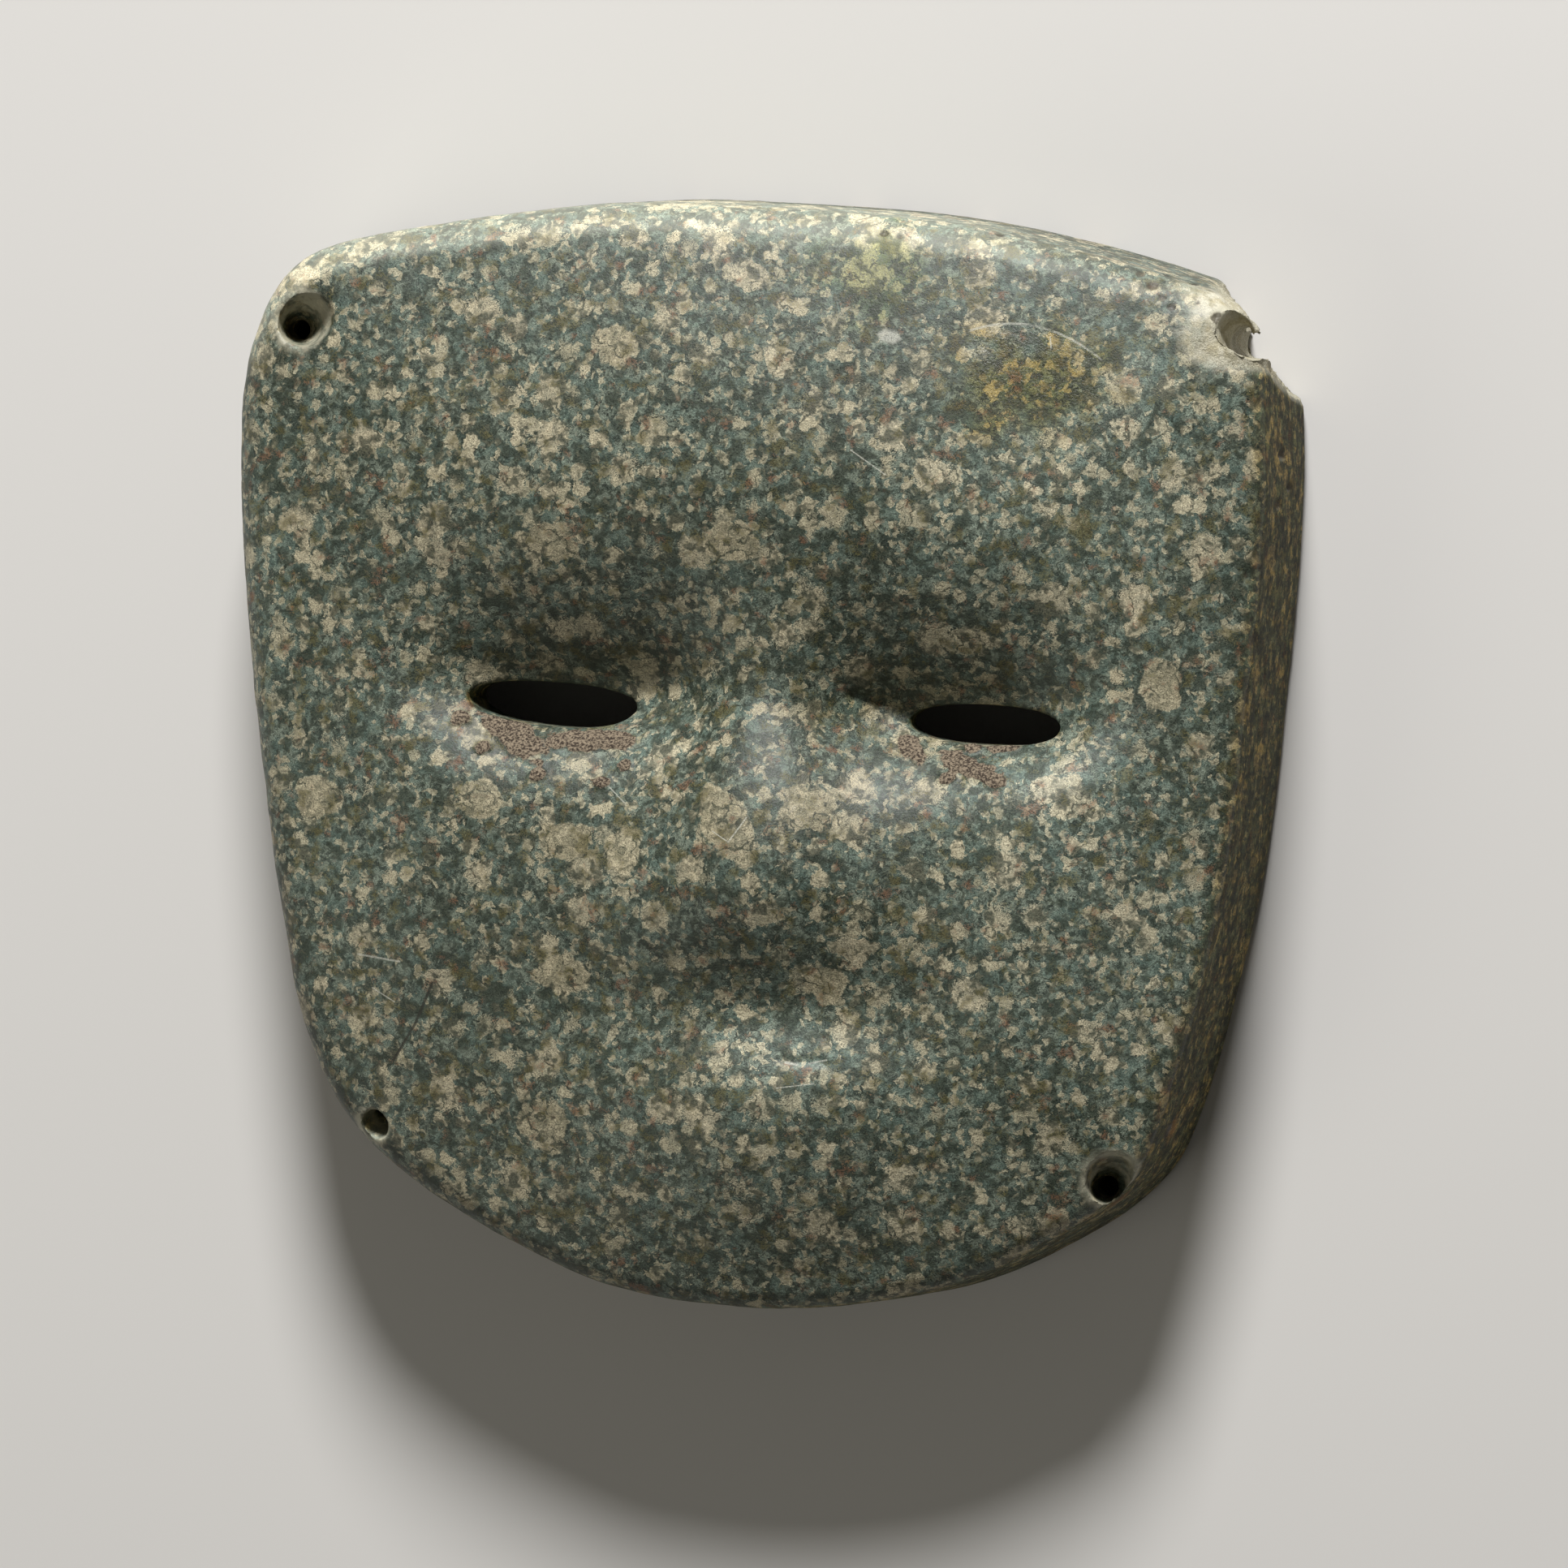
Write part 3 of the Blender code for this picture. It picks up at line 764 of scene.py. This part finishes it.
def painted_light_patches(points):
    """How much each point is in a pale patch, partly paler wear and partly painted light, from nought to
    one.
    """
    found = np.zeros(len(points))
    ragged = 0.25 * drift(points, 0.0050, 10)
    for *oval, strength in PAINTED_LIGHT_PATCHES:
        found = np.maximum(found, strength * ramp(oval_gap(points * 1000.0, *oval) + ragged, 1.25, 0.35))
    return found


def large_grains(points, wobble):
    """How deep each point is inside a large grain, at most one, and below nought outside them."""
    found = np.full(len(points), -1.0)
    ragged = 0.32 * drift(points, 0.0021, 13) - 0.12 * wobble
    for oval in LARGE_GRAINS:
        gap = oval_gap(points * 1000.0, *oval) + ragged
        found = np.maximum(found, np.clip(1.0 - gap, -1.0, 1.0))
    return found


def bare_and_lit_corner(points, wobble):
    """How bare the stone is round the broken corner, its pale partly painted light in the shaded hole, from
    nought to one.
    """
    middle, halves = BARE_AND_LIT_CORNER
    gap = np.linalg.norm((points * 1000.0 - middle) / halves, axis=1)
    return ramp(gap + 0.30 * drift(points, 0.0028, 12) + 0.15 * wobble, 1.15, 0.55)


def worn_and_lit_edge(points, normals, inset, edge):
    """How pale the upper edge and its wall are, from wear and from painted light on the faces turned up to
    the key light, from nought to one, and less to the right.
    """
    bevel = edge * ramp(normals[:, 1], -0.05, 0.45) * ramp(normals[:, 2], -0.1, 0.3)
    wall = ramp(inset, 0.0090, 0.0040) * ramp(normals[:, 1], 0.35, 0.80) * ramp(points[:, 2], 0.002, 0.014)
    return np.maximum(bevel, 0.80 * wall) * (1.0 - 0.60 * ramp(points[:, 0], 0.020, 0.055))


def surface(mesh):
    """The places and the normals of a mesh's vertices."""
    found = []
    for rows, name in ((mesh.vertices, "co"), (mesh.vertex_normals, "vector")):
        flat = np.empty(len(rows) * 3)
        rows.foreach_get(name, flat)
        found.append(flat.reshape(-1, 3))
    return found


def inset_from_outline(points):
    """How far inside the outline each point is, along the spoke from the middle of the face."""
    loop = smooth_loop([(x * HALF_W, y * HALF_H) for x, y in OUTLINE], SEGMENTS)
    middle = np.array([CENTRE[0] * HALF_W, CENTRE[1] * HALF_H])
    spokes = loop - middle
    offsets = points[:, :2] - middle
    turns = np.arctan2(spokes[:, 1], spokes[:, 0])
    order = np.argsort(turns)
    lengths = np.linalg.norm(spokes, axis=1)[order]
    bearings = np.arctan2(offsets[:, 1], offsets[:, 0])
    return np.interp(bearings, turns[order], lengths, period=2 * pi) - np.linalg.norm(offsets, axis=1)


def weather(item):
    """Wears, pits and crusts the surface, and keeps how much of each there is for the material."""
    mesh = item.data
    points, normals = surface(mesh)
    inset = inset_from_outline(points)
    front = ramp(normals[:, 2], 0.05, 0.40) * ramp(points[:, 2], *FACE_HEIGHTS)
    edge = ramp(inset, 0.0095, 0.0035) * ramp(points[:, 2], 0.012, 0.022)
    wobble = drift(points, 0.0011, 5) + 0.5 * drift(points, 0.0005, 6)
    crust = patches(points, wobble) * front
    broken = near_break(points)
    dug = pits(points, edge, wobble)

    wear = waves(points, WEAR) + edge * waves(points, EDGE_WEAR) + broken * waves(points, BREAK_WEAR)
    wear += PIT_DEPTH * dug
    wear += 0.001 * front * grooves(points * 1000.0 + wobble[:, None] * 0.25)
    wear -= crust * CRUST_HEIGHT * (1.0 + 0.5 * wobble)
    points -= normals * wear[:, None]
    mesh.vertices.foreach_set("co", points.ravel())

    kinds = {
        "crust": crust,
        "broken": broken,
        "dug": dug,
        # partly wear, partly painted light: the edge and wall that face up to the key light
        "worn": worn_and_lit_edge(points, normals, inset, edge),
        "stain": rust(points, wobble),
        "rim_and_lit_cone": hole_mouths_and_lit_cones(points, wobble),
        # partly wear, partly painted light: the pale patches
        "haze": painted_light_patches(points) * ramp(points[:, 2], *FACE_HEIGHTS),
        "grain": np.where(front > 0.5, large_grains(points, wobble), -1.0),
        # partly painted light: the broken corner and its shaded hole made pale
        "bare": bare_and_lit_corner(points, wobble),
    }
    kinds.update({name: front * tint(name, points, wobble) for name in TINT_FACTORS})
    for name, values in kinds.items():
        kept = mesh.attributes.new(name, "FLOAT", "POINT")
        kept.data.foreach_set("value", values.astype(np.float32))
    mesh.update()


class Graph:
    """Short ways to write a material's nodes. Lengths are in millimetres."""

    def __init__(self, tree):
        self.tree = tree

    def node(self, kind, inputs=None, **settings):
        made = self.tree.nodes.new(kind)
        for name, value in settings.items():
            setattr(made, name, value)
        for key, value in (inputs or {}).items():
            self.plug(made.inputs[key], value)
        return made

    def plug(self, socket_, value):
        if isinstance(value, bpy.types.NodeSocket):
            self.tree.links.new(value, socket_)
        else:
            socket_.default_value = value

    def math(self, operation, *values):
        return self.node("ShaderNodeMath", dict(enumerate(values)), operation=operation).outputs[0]

    def vector(self, operation, *values):
        return self.node("ShaderNodeVectorMath", dict(enumerate(values)), operation=operation).outputs[0]

    def band(self, value, low, high, out_low=0.0, out_high=1.0):
        inputs = {"Value": value, "From Min": low, "From Max": high, "To Min": out_low, "To Max": out_high}
        return self.node("ShaderNodeMapRange", inputs, interpolation_type="SMOOTHSTEP").outputs["Result"]

    def noises(self, where, size, detail=2.0, roughness=0.5):
        inputs = {"Vector": where, "Scale": 1.0 / size, "Detail": detail, "Roughness": roughness}
        return self.node("ShaderNodeTexNoise", inputs).outputs

    def noise(self, *details):
        return self.noises(*details)["Fac"]

    def cells(self, where, size):
        return self.node("ShaderNodeTexVoronoi", {"Vector": where, "Scale": 1.0 / size, "Randomness": 1.0})

    def mix(self, share, first, second, blend="MIX"):
        made = self.node("ShaderNodeMix", data_type="RGBA", blend_type=blend)
        self.plug(made.inputs[0], share)
        for socket_, value in ((made.inputs[6], first), (made.inputs[7], second)):
            self.plug(socket_, value if isinstance(value, bpy.types.NodeSocket) else (*value, 1.0))
        return made.outputs[2]

    def tinted(self, share, colour, factors):
        return self.mix(share, colour, self.mix(1.0, colour, factors, "MULTIPLY"))

    def lifted(self, share, colour, factors, added):
        scaled = self.mix(1.0, colour, factors, "MULTIPLY")
        return self.mix(share, colour, self.mix(1.0, scaled, added, "ADD"))

    def grey(self, value):
        return self.node("ShaderNodeCombineColor", {0: value, 1: value, 2: value}).outputs[0]

    def split(self, colour):
        return self.node("ShaderNodeSeparateColor", {0: colour}).outputs

    def kept(self, name):
        return self.node("ShaderNodeAttribute", attribute_name=name).outputs["Fac"]


def warped(g, where, size, detail, amount):
    """The same places moved about by noise, so that what is drawn there gets ragged edges."""
    moved = g.vector("SUBTRACT", g.noises(where, size, detail, 0.6)["Color"], (0.5, 0.5, 0.5))
    return g.vector("ADD", where, g.vector("MULTIPLY", moved, (amount,) * 3))


def grains(g, where, size, share, radii, fade, rough):
    """Masks of irregular grains with soft edges, and one random share for each grain."""
    cell = g.cells(where, size)
    red, green, _blue = g.split(cell.outputs["Color"])[:3]
    radius = g.band(red, 0.0, 1.0, *radii)
    inside = g.math("ADD", g.math("SUBTRACT", radius, cell.outputs["Distance"]), rough)
    chosen = g.math("LESS_THAN", green, share)
    return g.math("MULTIPLY", g.band(inside, *fade), chosen), red


def scratch(g, across, up, start, end, half_width):
    """The mask of a thin straight mark from one place to another."""
    run = Vector(end) - Vector(start)
    reach = run.length / 2
    middle = (Vector(start) + Vector(end)) / 2
    way = run.normalized()
    along = g.math("MULTIPLY_ADD", across, way.x, g.math("MULTIPLY_ADD", up, way.y, -middle.dot(way)))
    offset = middle.x * way.y - middle.y * way.x
    aside = g.math("MULTIPLY_ADD", across, -way.y, g.math("MULTIPLY_ADD", up, way.x, offset))
    past = g.math("MAXIMUM", g.math("SUBTRACT", g.math("ABSOLUTE", along), reach), 0.0)
    gap = g.math("ADD", g.math("ABSOLUTE", aside), past)
    return g.band(gap, half_width * 1.5, half_width * 0.5)


def marks(g, kind, across, up):
    """All scratches of one kind as one mask."""
    found = None
    for start, end, half_width in kind:
        one = scratch(g, across, up, start, end, half_width)
        found = one if found is None else g.math("MAXIMUM", found, one)
    return found


def small_grains(g, ragged, speckle, teal, soft):
    """The dark green ground and its smallest grains."""
    tone, fleck, _ = g.split(g.cells(ragged, 0.85).outputs["Color"])[:3]
    tone = g.math("MULTIPLY_ADD", tone, 0.16, g.math("ADD", speckle, g.math("MULTIPLY", soft, 0.5)))
    colour = g.mix(g.band(tone, 0.44, 0.72), *GROUND)
    colour = g.mix(g.band(teal, 0.46, 0.60, 0.0, 0.50), colour, TEAL)
    return g.mix(g.math("MULTIPLY", g.math("LESS_THAN", fleck, 0.17), 0.72), colour, FLECK)


def pale_grains(g, colour, ragged, speckle, soft):
    """The colour with two sizes of irregular pale grains on it."""
    where = g.vector("ADD", ragged, (7.0, 3.0, 11.0))
    middle, tone = grains(g, where, 2.4, 0.38, (0.26, 0.60), (-0.05, 0.08), soft)
    colour = g.mix(g.math("MULTIPLY", middle, 0.82), colour, g.mix(tone, *MIDDLE_GRAIN))
    where = g.vector("ADD", ragged, (31.0, 17.0, 5.0))
    wide, tone = grains(g, where, 5.6, 0.42, (0.24, 0.52), (-0.035, 0.055), soft)
    cream = g.mix(g.band(speckle, 0.62, 0.42, 0.0, 0.40), g.mix(tone, *WIDE_GRAIN), WIDE_GRAIN_SHADE)
    return g.mix(g.math("MULTIPLY", wide, 0.88), colour, cream)


def speckled(g, place, ragged, mottle):
    """The stone's own colour: a mosaic of grains in a dark green ground, with clusters, olive and rust."""
    soft = g.math("MULTIPLY_ADD", mottle, 0.60, -0.30)
    speckle = g.noise(ragged, 1.3, 2.0, 0.7)
    olive, rusty, teal = g.split(g.noises(place, 2.9, 2.0, 0.6)["Color"])[:3]
    colour = small_grains(g, ragged, speckle, teal, soft)
    colour = pale_grains(g, colour, ragged, speckle, soft)

    inside = g.math("ADD", g.kept("grain"), g.math("MULTIPLY_ADD", speckle, 0.40, -0.20))
    largest = g.mix(g.band(speckle, 0.36, 0.66), *LARGEST_GRAIN)
    colour = g.mix(g.band(inside, -0.05, 0.08, 0.0, 0.86), colour, largest)
    rim_line = g.band(g.math("ABSOLUTE", g.math("ADD", inside, 0.08)), 0.10, 0.03, 0.0, 0.45)

    cluster = g.math("SUBTRACT", g.noise(ragged, 2.5, 2.0, 0.66), g.band(inside, -0.10, 0.10, 0.0, 0.12))
    cluster = g.band(g.math("ADD", cluster, g.math("MULTIPLY", soft, 0.6)), 0.520, 0.600)
    line = g.math("ABSOLUTE", g.math("SUBTRACT", g.noise(ragged, 3.4, 1.0), 0.5))
    vein = g.math("MULTIPLY", g.band(line, 0.034, 0.008), g.band(rusty, 0.44, 0.54, 0.45, 1.0))
    dark = g.math("MAXIMUM", g.math("MAXIMUM", vein, rim_line), cluster)
    colour = g.mix(g.math("MULTIPLY", dark, 0.84), colour, DARK_GRAIN)
    colour = g.mix(g.band(g.math("ADD", olive, soft), 0.605, 0.665, 0.0, 0.66), colour, OLIVE_GRAIN)
    colour = g.mix(g.band(g.math("ADD", rusty, soft), 0.670, 0.720, 0.0, 0.60), colour, RUST_GRAIN)
    return g.mix(1.0, colour, g.grey(g.band(mottle, 0.36, 0.64, 0.42, 1.66)), "MULTIPLY")


def weathered(g, colour, breakup, streaks, side, rightward):
    """The colour with the upper edge paler from wear and painted light, the sides browner from stain and
    painted shade, the tints, the rust and the pale patches of painted light.
    """
    # partly wear, partly painted light: the upper edge and wall lifted where they face the key light
    pale = g.band(g.math("MULTIPLY_ADD", breakup, 0.5, g.kept("worn")), 0.40, 1.10)
    colour = g.lifted(pale, colour, *WORN_AND_LIT_PALE)
    # partly stain, partly painted shade: the walls browned and darkened, but not the top wall that faces
    # the key light
    colour = g.tinted(g.math("MULTIPLY", side, g.band(streaks, 0.40, 0.62, 0.45, 1.00)), colour, SIDE_STAIN_AND_SHADE)
    for name, factors in TINT_FACTORS.items():
        colour = g.tinted(g.kept(name), colour, factors)
    colour = g.mix(g.math("MULTIPLY", g.kept("stain"), 0.55), colour, RUST_STAIN)
    # partly wear, partly painted light: paler, slightly bluish patches where the face catches the light
    colour = g.lifted(g.kept("haze"), colour, *PAINTED_LIGHT_LIFT)
    patchy = g.math("MULTIPLY_ADD", streaks, 0.4, g.math("MULTIPLY", breakup, 0.6))
    brown = g.mix(g.band(patchy, 0.42, 0.58), *RIGHT_WALL_TINTS)
    return g.tinted(g.band(rightward, 0.45, 0.85), colour, brown)


def damaged(g, colour, mottle, breakup):
    """The colour with the broken faces, the bare corner, the mouths of the holes, painted light inside the
    holes and in the broken corner, and the pits.
    """
    fracture = g.mix(g.band(mottle, 0.38, 0.62), *FRACTURE)
    colour = g.mix(g.math("MULTIPLY", g.kept("broken"), 0.82), colour, fracture)
    # partly painted light: the broken corner and the shaded hole in it made chalky pale
    bare = g.math("MULTIPLY", g.kept("bare"), g.band(mottle, 0.34, 0.60, 0.45, 0.95))
    colour = g.mix(bare, colour, g.mix(g.band(breakup, 0.36, 0.60), *CHALK_AND_LIT))
    # the pale mouths of the holes, partly painted light inside their cones
    mouth = g.math("MULTIPLY", g.kept("rim_and_lit_cone"), g.band(breakup, 0.35, 0.55, 0.25, 0.75))
    colour = g.mix(mouth, colour, HOLE_MOUTH_AND_LIT_CONE)
    return g.mix(g.band(g.kept("dug"), 0.10, 0.85, 0.0, 0.74), colour, PIT)


def film_and_lip(g, across, up, breakup):
    """Masks of the old film on the forehead and of the pale lip along its upper edge."""
    bow = g.math("POWER", g.math("SUBTRACT", across, FILM_CREST[0]), 2.0)
    under = g.math("SUBTRACT", g.math("MULTIPLY_ADD", bow, -FILM_BEND, FILM_CREST[1]), up)
    reach = g.math("ABSOLUTE", g.math("SUBTRACT", across, FILM_MIDDLE))
    film = g.math("MULTIPLY", g.band(under, -0.05, 0.15), g.band(under, FILM_HEIGHT, FILM_HEIGHT - 4.0))
    film = g.math("MULTIPLY", film, g.band(reach, FILM_HALF_WIDTH + 0.2, FILM_HALF_WIDTH - 1.2))
    lip = g.band(g.math("ABSOLUTE", under), 0.26, 0.08)
    lip = g.math("MULTIPLY", lip, g.band(reach, FILM_HALF_WIDTH, FILM_HALF_WIDTH - 0.8))
    return film, g.math("MULTIPLY", lip, g.band(breakup, 0.38, 0.50, 0.25, 0.85))


def marked(g, colour, across, up, lip, front, mottle):
    """The colour with the thin light and dark marks on the face."""
    light = g.math("MULTIPLY", g.math("MAXIMUM", lip, marks(g, LIGHT_MARKS, across, up)), front)
    light = g.math("MULTIPLY", light, g.band(mottle, 0.35, 0.60, 0.25, 0.75))
    dark = g.math("MULTIPLY", marks(g, DARK_MARKS, across, up), front)
    return g.mix(g.math("MULTIPLY", dark, 0.85), g.mix(light, colour, SCRATCH), FISSURE)


def greenstone():
    """Porphyry, paler on its upper edge from wear and painted light, browner at its sides from stain and
    painted shade, with earth left by the eyes.
    """
    material = bpy.data.materials.new("greenstone")
    material.use_nodes = True
    g = Graph(material.node_tree)
    shader = material.node_tree.nodes["Principled BSDF"]
    coords = g.node("ShaderNodeTexCoord").outputs["Object"]
    place = g.vector("MULTIPLY", coords, (1000.0, 1000.0, 1000.0))
    across, up, height = g.node("ShaderNodeSeparateXYZ", {0: place}).outputs[:3]
    normal = g.node("ShaderNodeSeparateXYZ", {0: g.node("ShaderNodeNewGeometry").outputs["Normal"]}).outputs
    ragged = warped(g, place, 1.5, 3.0, 2.0)
    mottle = g.noise(g.vector("MULTIPLY", ragged, (1.0, 2.0, 1.5)), 0.27, 2.0, 0.75)
    breakup = g.noise(place, 2.4, 3.0, 0.65)
    streaks = g.noise(g.vector("MULTIPLY", place, (1.0, 1.0, 0.14)), 0.8, 2.0, 0.65)
    # the walls, leaving out the top wall that faces the key light; their colour is partly painted shade
    side = g.band(g.math("ABSOLUTE", normal[2]), 0.55, 0.15)
    side = g.math("MULTIPLY", side, g.band(normal[1], 0.50, 0.10))
    front = g.band(height, 23.0, 26.0)

    colour = speckled(g, place, ragged, mottle)
    colour = weathered(g, colour, breakup, streaks, side, normal[0])
    colour = damaged(g, colour, mottle, breakup)
    film, lip = film_and_lip(g, across, up, breakup)
    colour = marked(g, colour, across, up, lip, front, mottle)
    crust = g.band(g.math("MULTIPLY_ADD", mottle, 0.5, g.kept("crust")), 0.55, 0.85)
    earth = g.mix(g.band(g.noise(place, 0.36, 1.0, 0.7), 0.36, 0.64), *EARTH)
    g.plug(shader.inputs["Base Color"], g.mix(crust, colour, earth))

    shine = g.math("MULTIPLY", g.math("MULTIPLY", film, front), 0.15)
    roughness = g.math("SUBTRACT", g.band(mottle, 0.3, 0.7, 0.40, 0.64), shine)
    for share, roughest in ((side, 0.85), (crust, 0.92), (g.kept("broken"), 0.85)):
        roughness = g.math("MAXIMUM", roughness, g.math("MULTIPLY", share, roughest))
    g.plug(shader.inputs["Roughness"], roughness)
    shader.inputs["Specular IOR Level"].default_value = 0.42

    rough_part = g.math("MULTIPLY_ADD", g.kept("broken"), 0.20, 0.075)
    rough_part = g.math("MULTIPLY_ADD", g.kept("crust"), 0.28, rough_part)
    height_map = g.math("MULTIPLY", g.noise(place, 0.34, 3.0, 0.7), rough_part)
    bump = g.node("ShaderNodeBump", {"Height": height_map, "Distance": 0.001, "Strength": 1.0})
    g.plug(shader.inputs["Normal"], bump.outputs["Normal"])
    return material


def plain(name, colour, roughness):
    material = bpy.data.materials.new(name)
    material.use_nodes = True
    shader = material.node_tree.nodes["Principled BSDF"]
    shader.inputs["Base Color"].default_value = (*colour, 1.0)
    shader.inputs["Roughness"].default_value = roughness
    return material


def add_stone():
    """The weathered stone in place of the plain solid."""
    item = carved_form()
    weather(item)
    faces = sum(len(face.vertices) - 2 for face in item.data.polygons)
    if faces > MOST_TRIANGLES:
        step = item.modifiers.new("fewer", "DECIMATE")
        step.ratio = MOST_TRIANGLES / faces
        settle(item)
    item.data.shade_smooth()
    item.data.materials.clear()
    item.data.materials.append(greenstone())
    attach(item, "root")
    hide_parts("mask")
    return item


def add_floor():
    made = bmesh.new()
    bmesh.ops.create_grid(made, x_segments=1, y_segments=1, size=3.0)
    floor = add_object(made, "floor")
    floor.data.materials.append(plain("pale_floor", FLOOR_COLOUR, 0.8))


def add_light(name, place, size, power, colour):
    data = bpy.data.lights.new(name, "AREA")
    data.shape = "DISK"
    data.size = size
    data.energy = power
    data.color = colour
    light = bpy.data.objects.new(name, data)
    light.location = place
    light.rotation_euler = (-Vector(place)).to_track_quat("-Z", "Y").to_euler()
    bpy.context.scene.collection.objects.link(light)


def add_camera():
    level = cos(CAMERA_PITCH)
    toward = Vector((sin(CAMERA_YAW) * level, sin(CAMERA_PITCH), cos(CAMERA_YAW) * level))
    right = Vector((cos(CAMERA_YAW), 0.0, -sin(CAMERA_YAW)))
    up = toward.cross(right)
    data = bpy.data.cameras.new("camera")
    data.lens = CAMERA_LENS
    data.sensor_width = CAMERA_SENSOR
    camera = bpy.data.objects.new("camera", data)
    turn = Matrix((right, up, toward)).transposed().to_4x4()
    camera.matrix_world = Matrix.Translation(CAMERA_TARGET + toward * CAMERA_DISTANCE) @ turn
    bpy.context.scene.collection.objects.link(camera)
    bpy.context.scene.camera = camera


def light_room():
    for name, details in LIGHTS.items():
        add_light(name, *details)
    world = bpy.data.worlds.new("room")
    world.use_nodes = True
    world.node_tree.nodes["Background"].inputs["Color"].default_value = (*ROOM_COLOUR, 1.0)
    world.node_tree.nodes["Background"].inputs["Strength"].default_value = ROOM_STRENGTH
    bpy.context.scene.world = world
    bpy.context.scene.view_settings.view_transform = "Standard"


add_camera()
light_room()
add_floor()
add_stone()
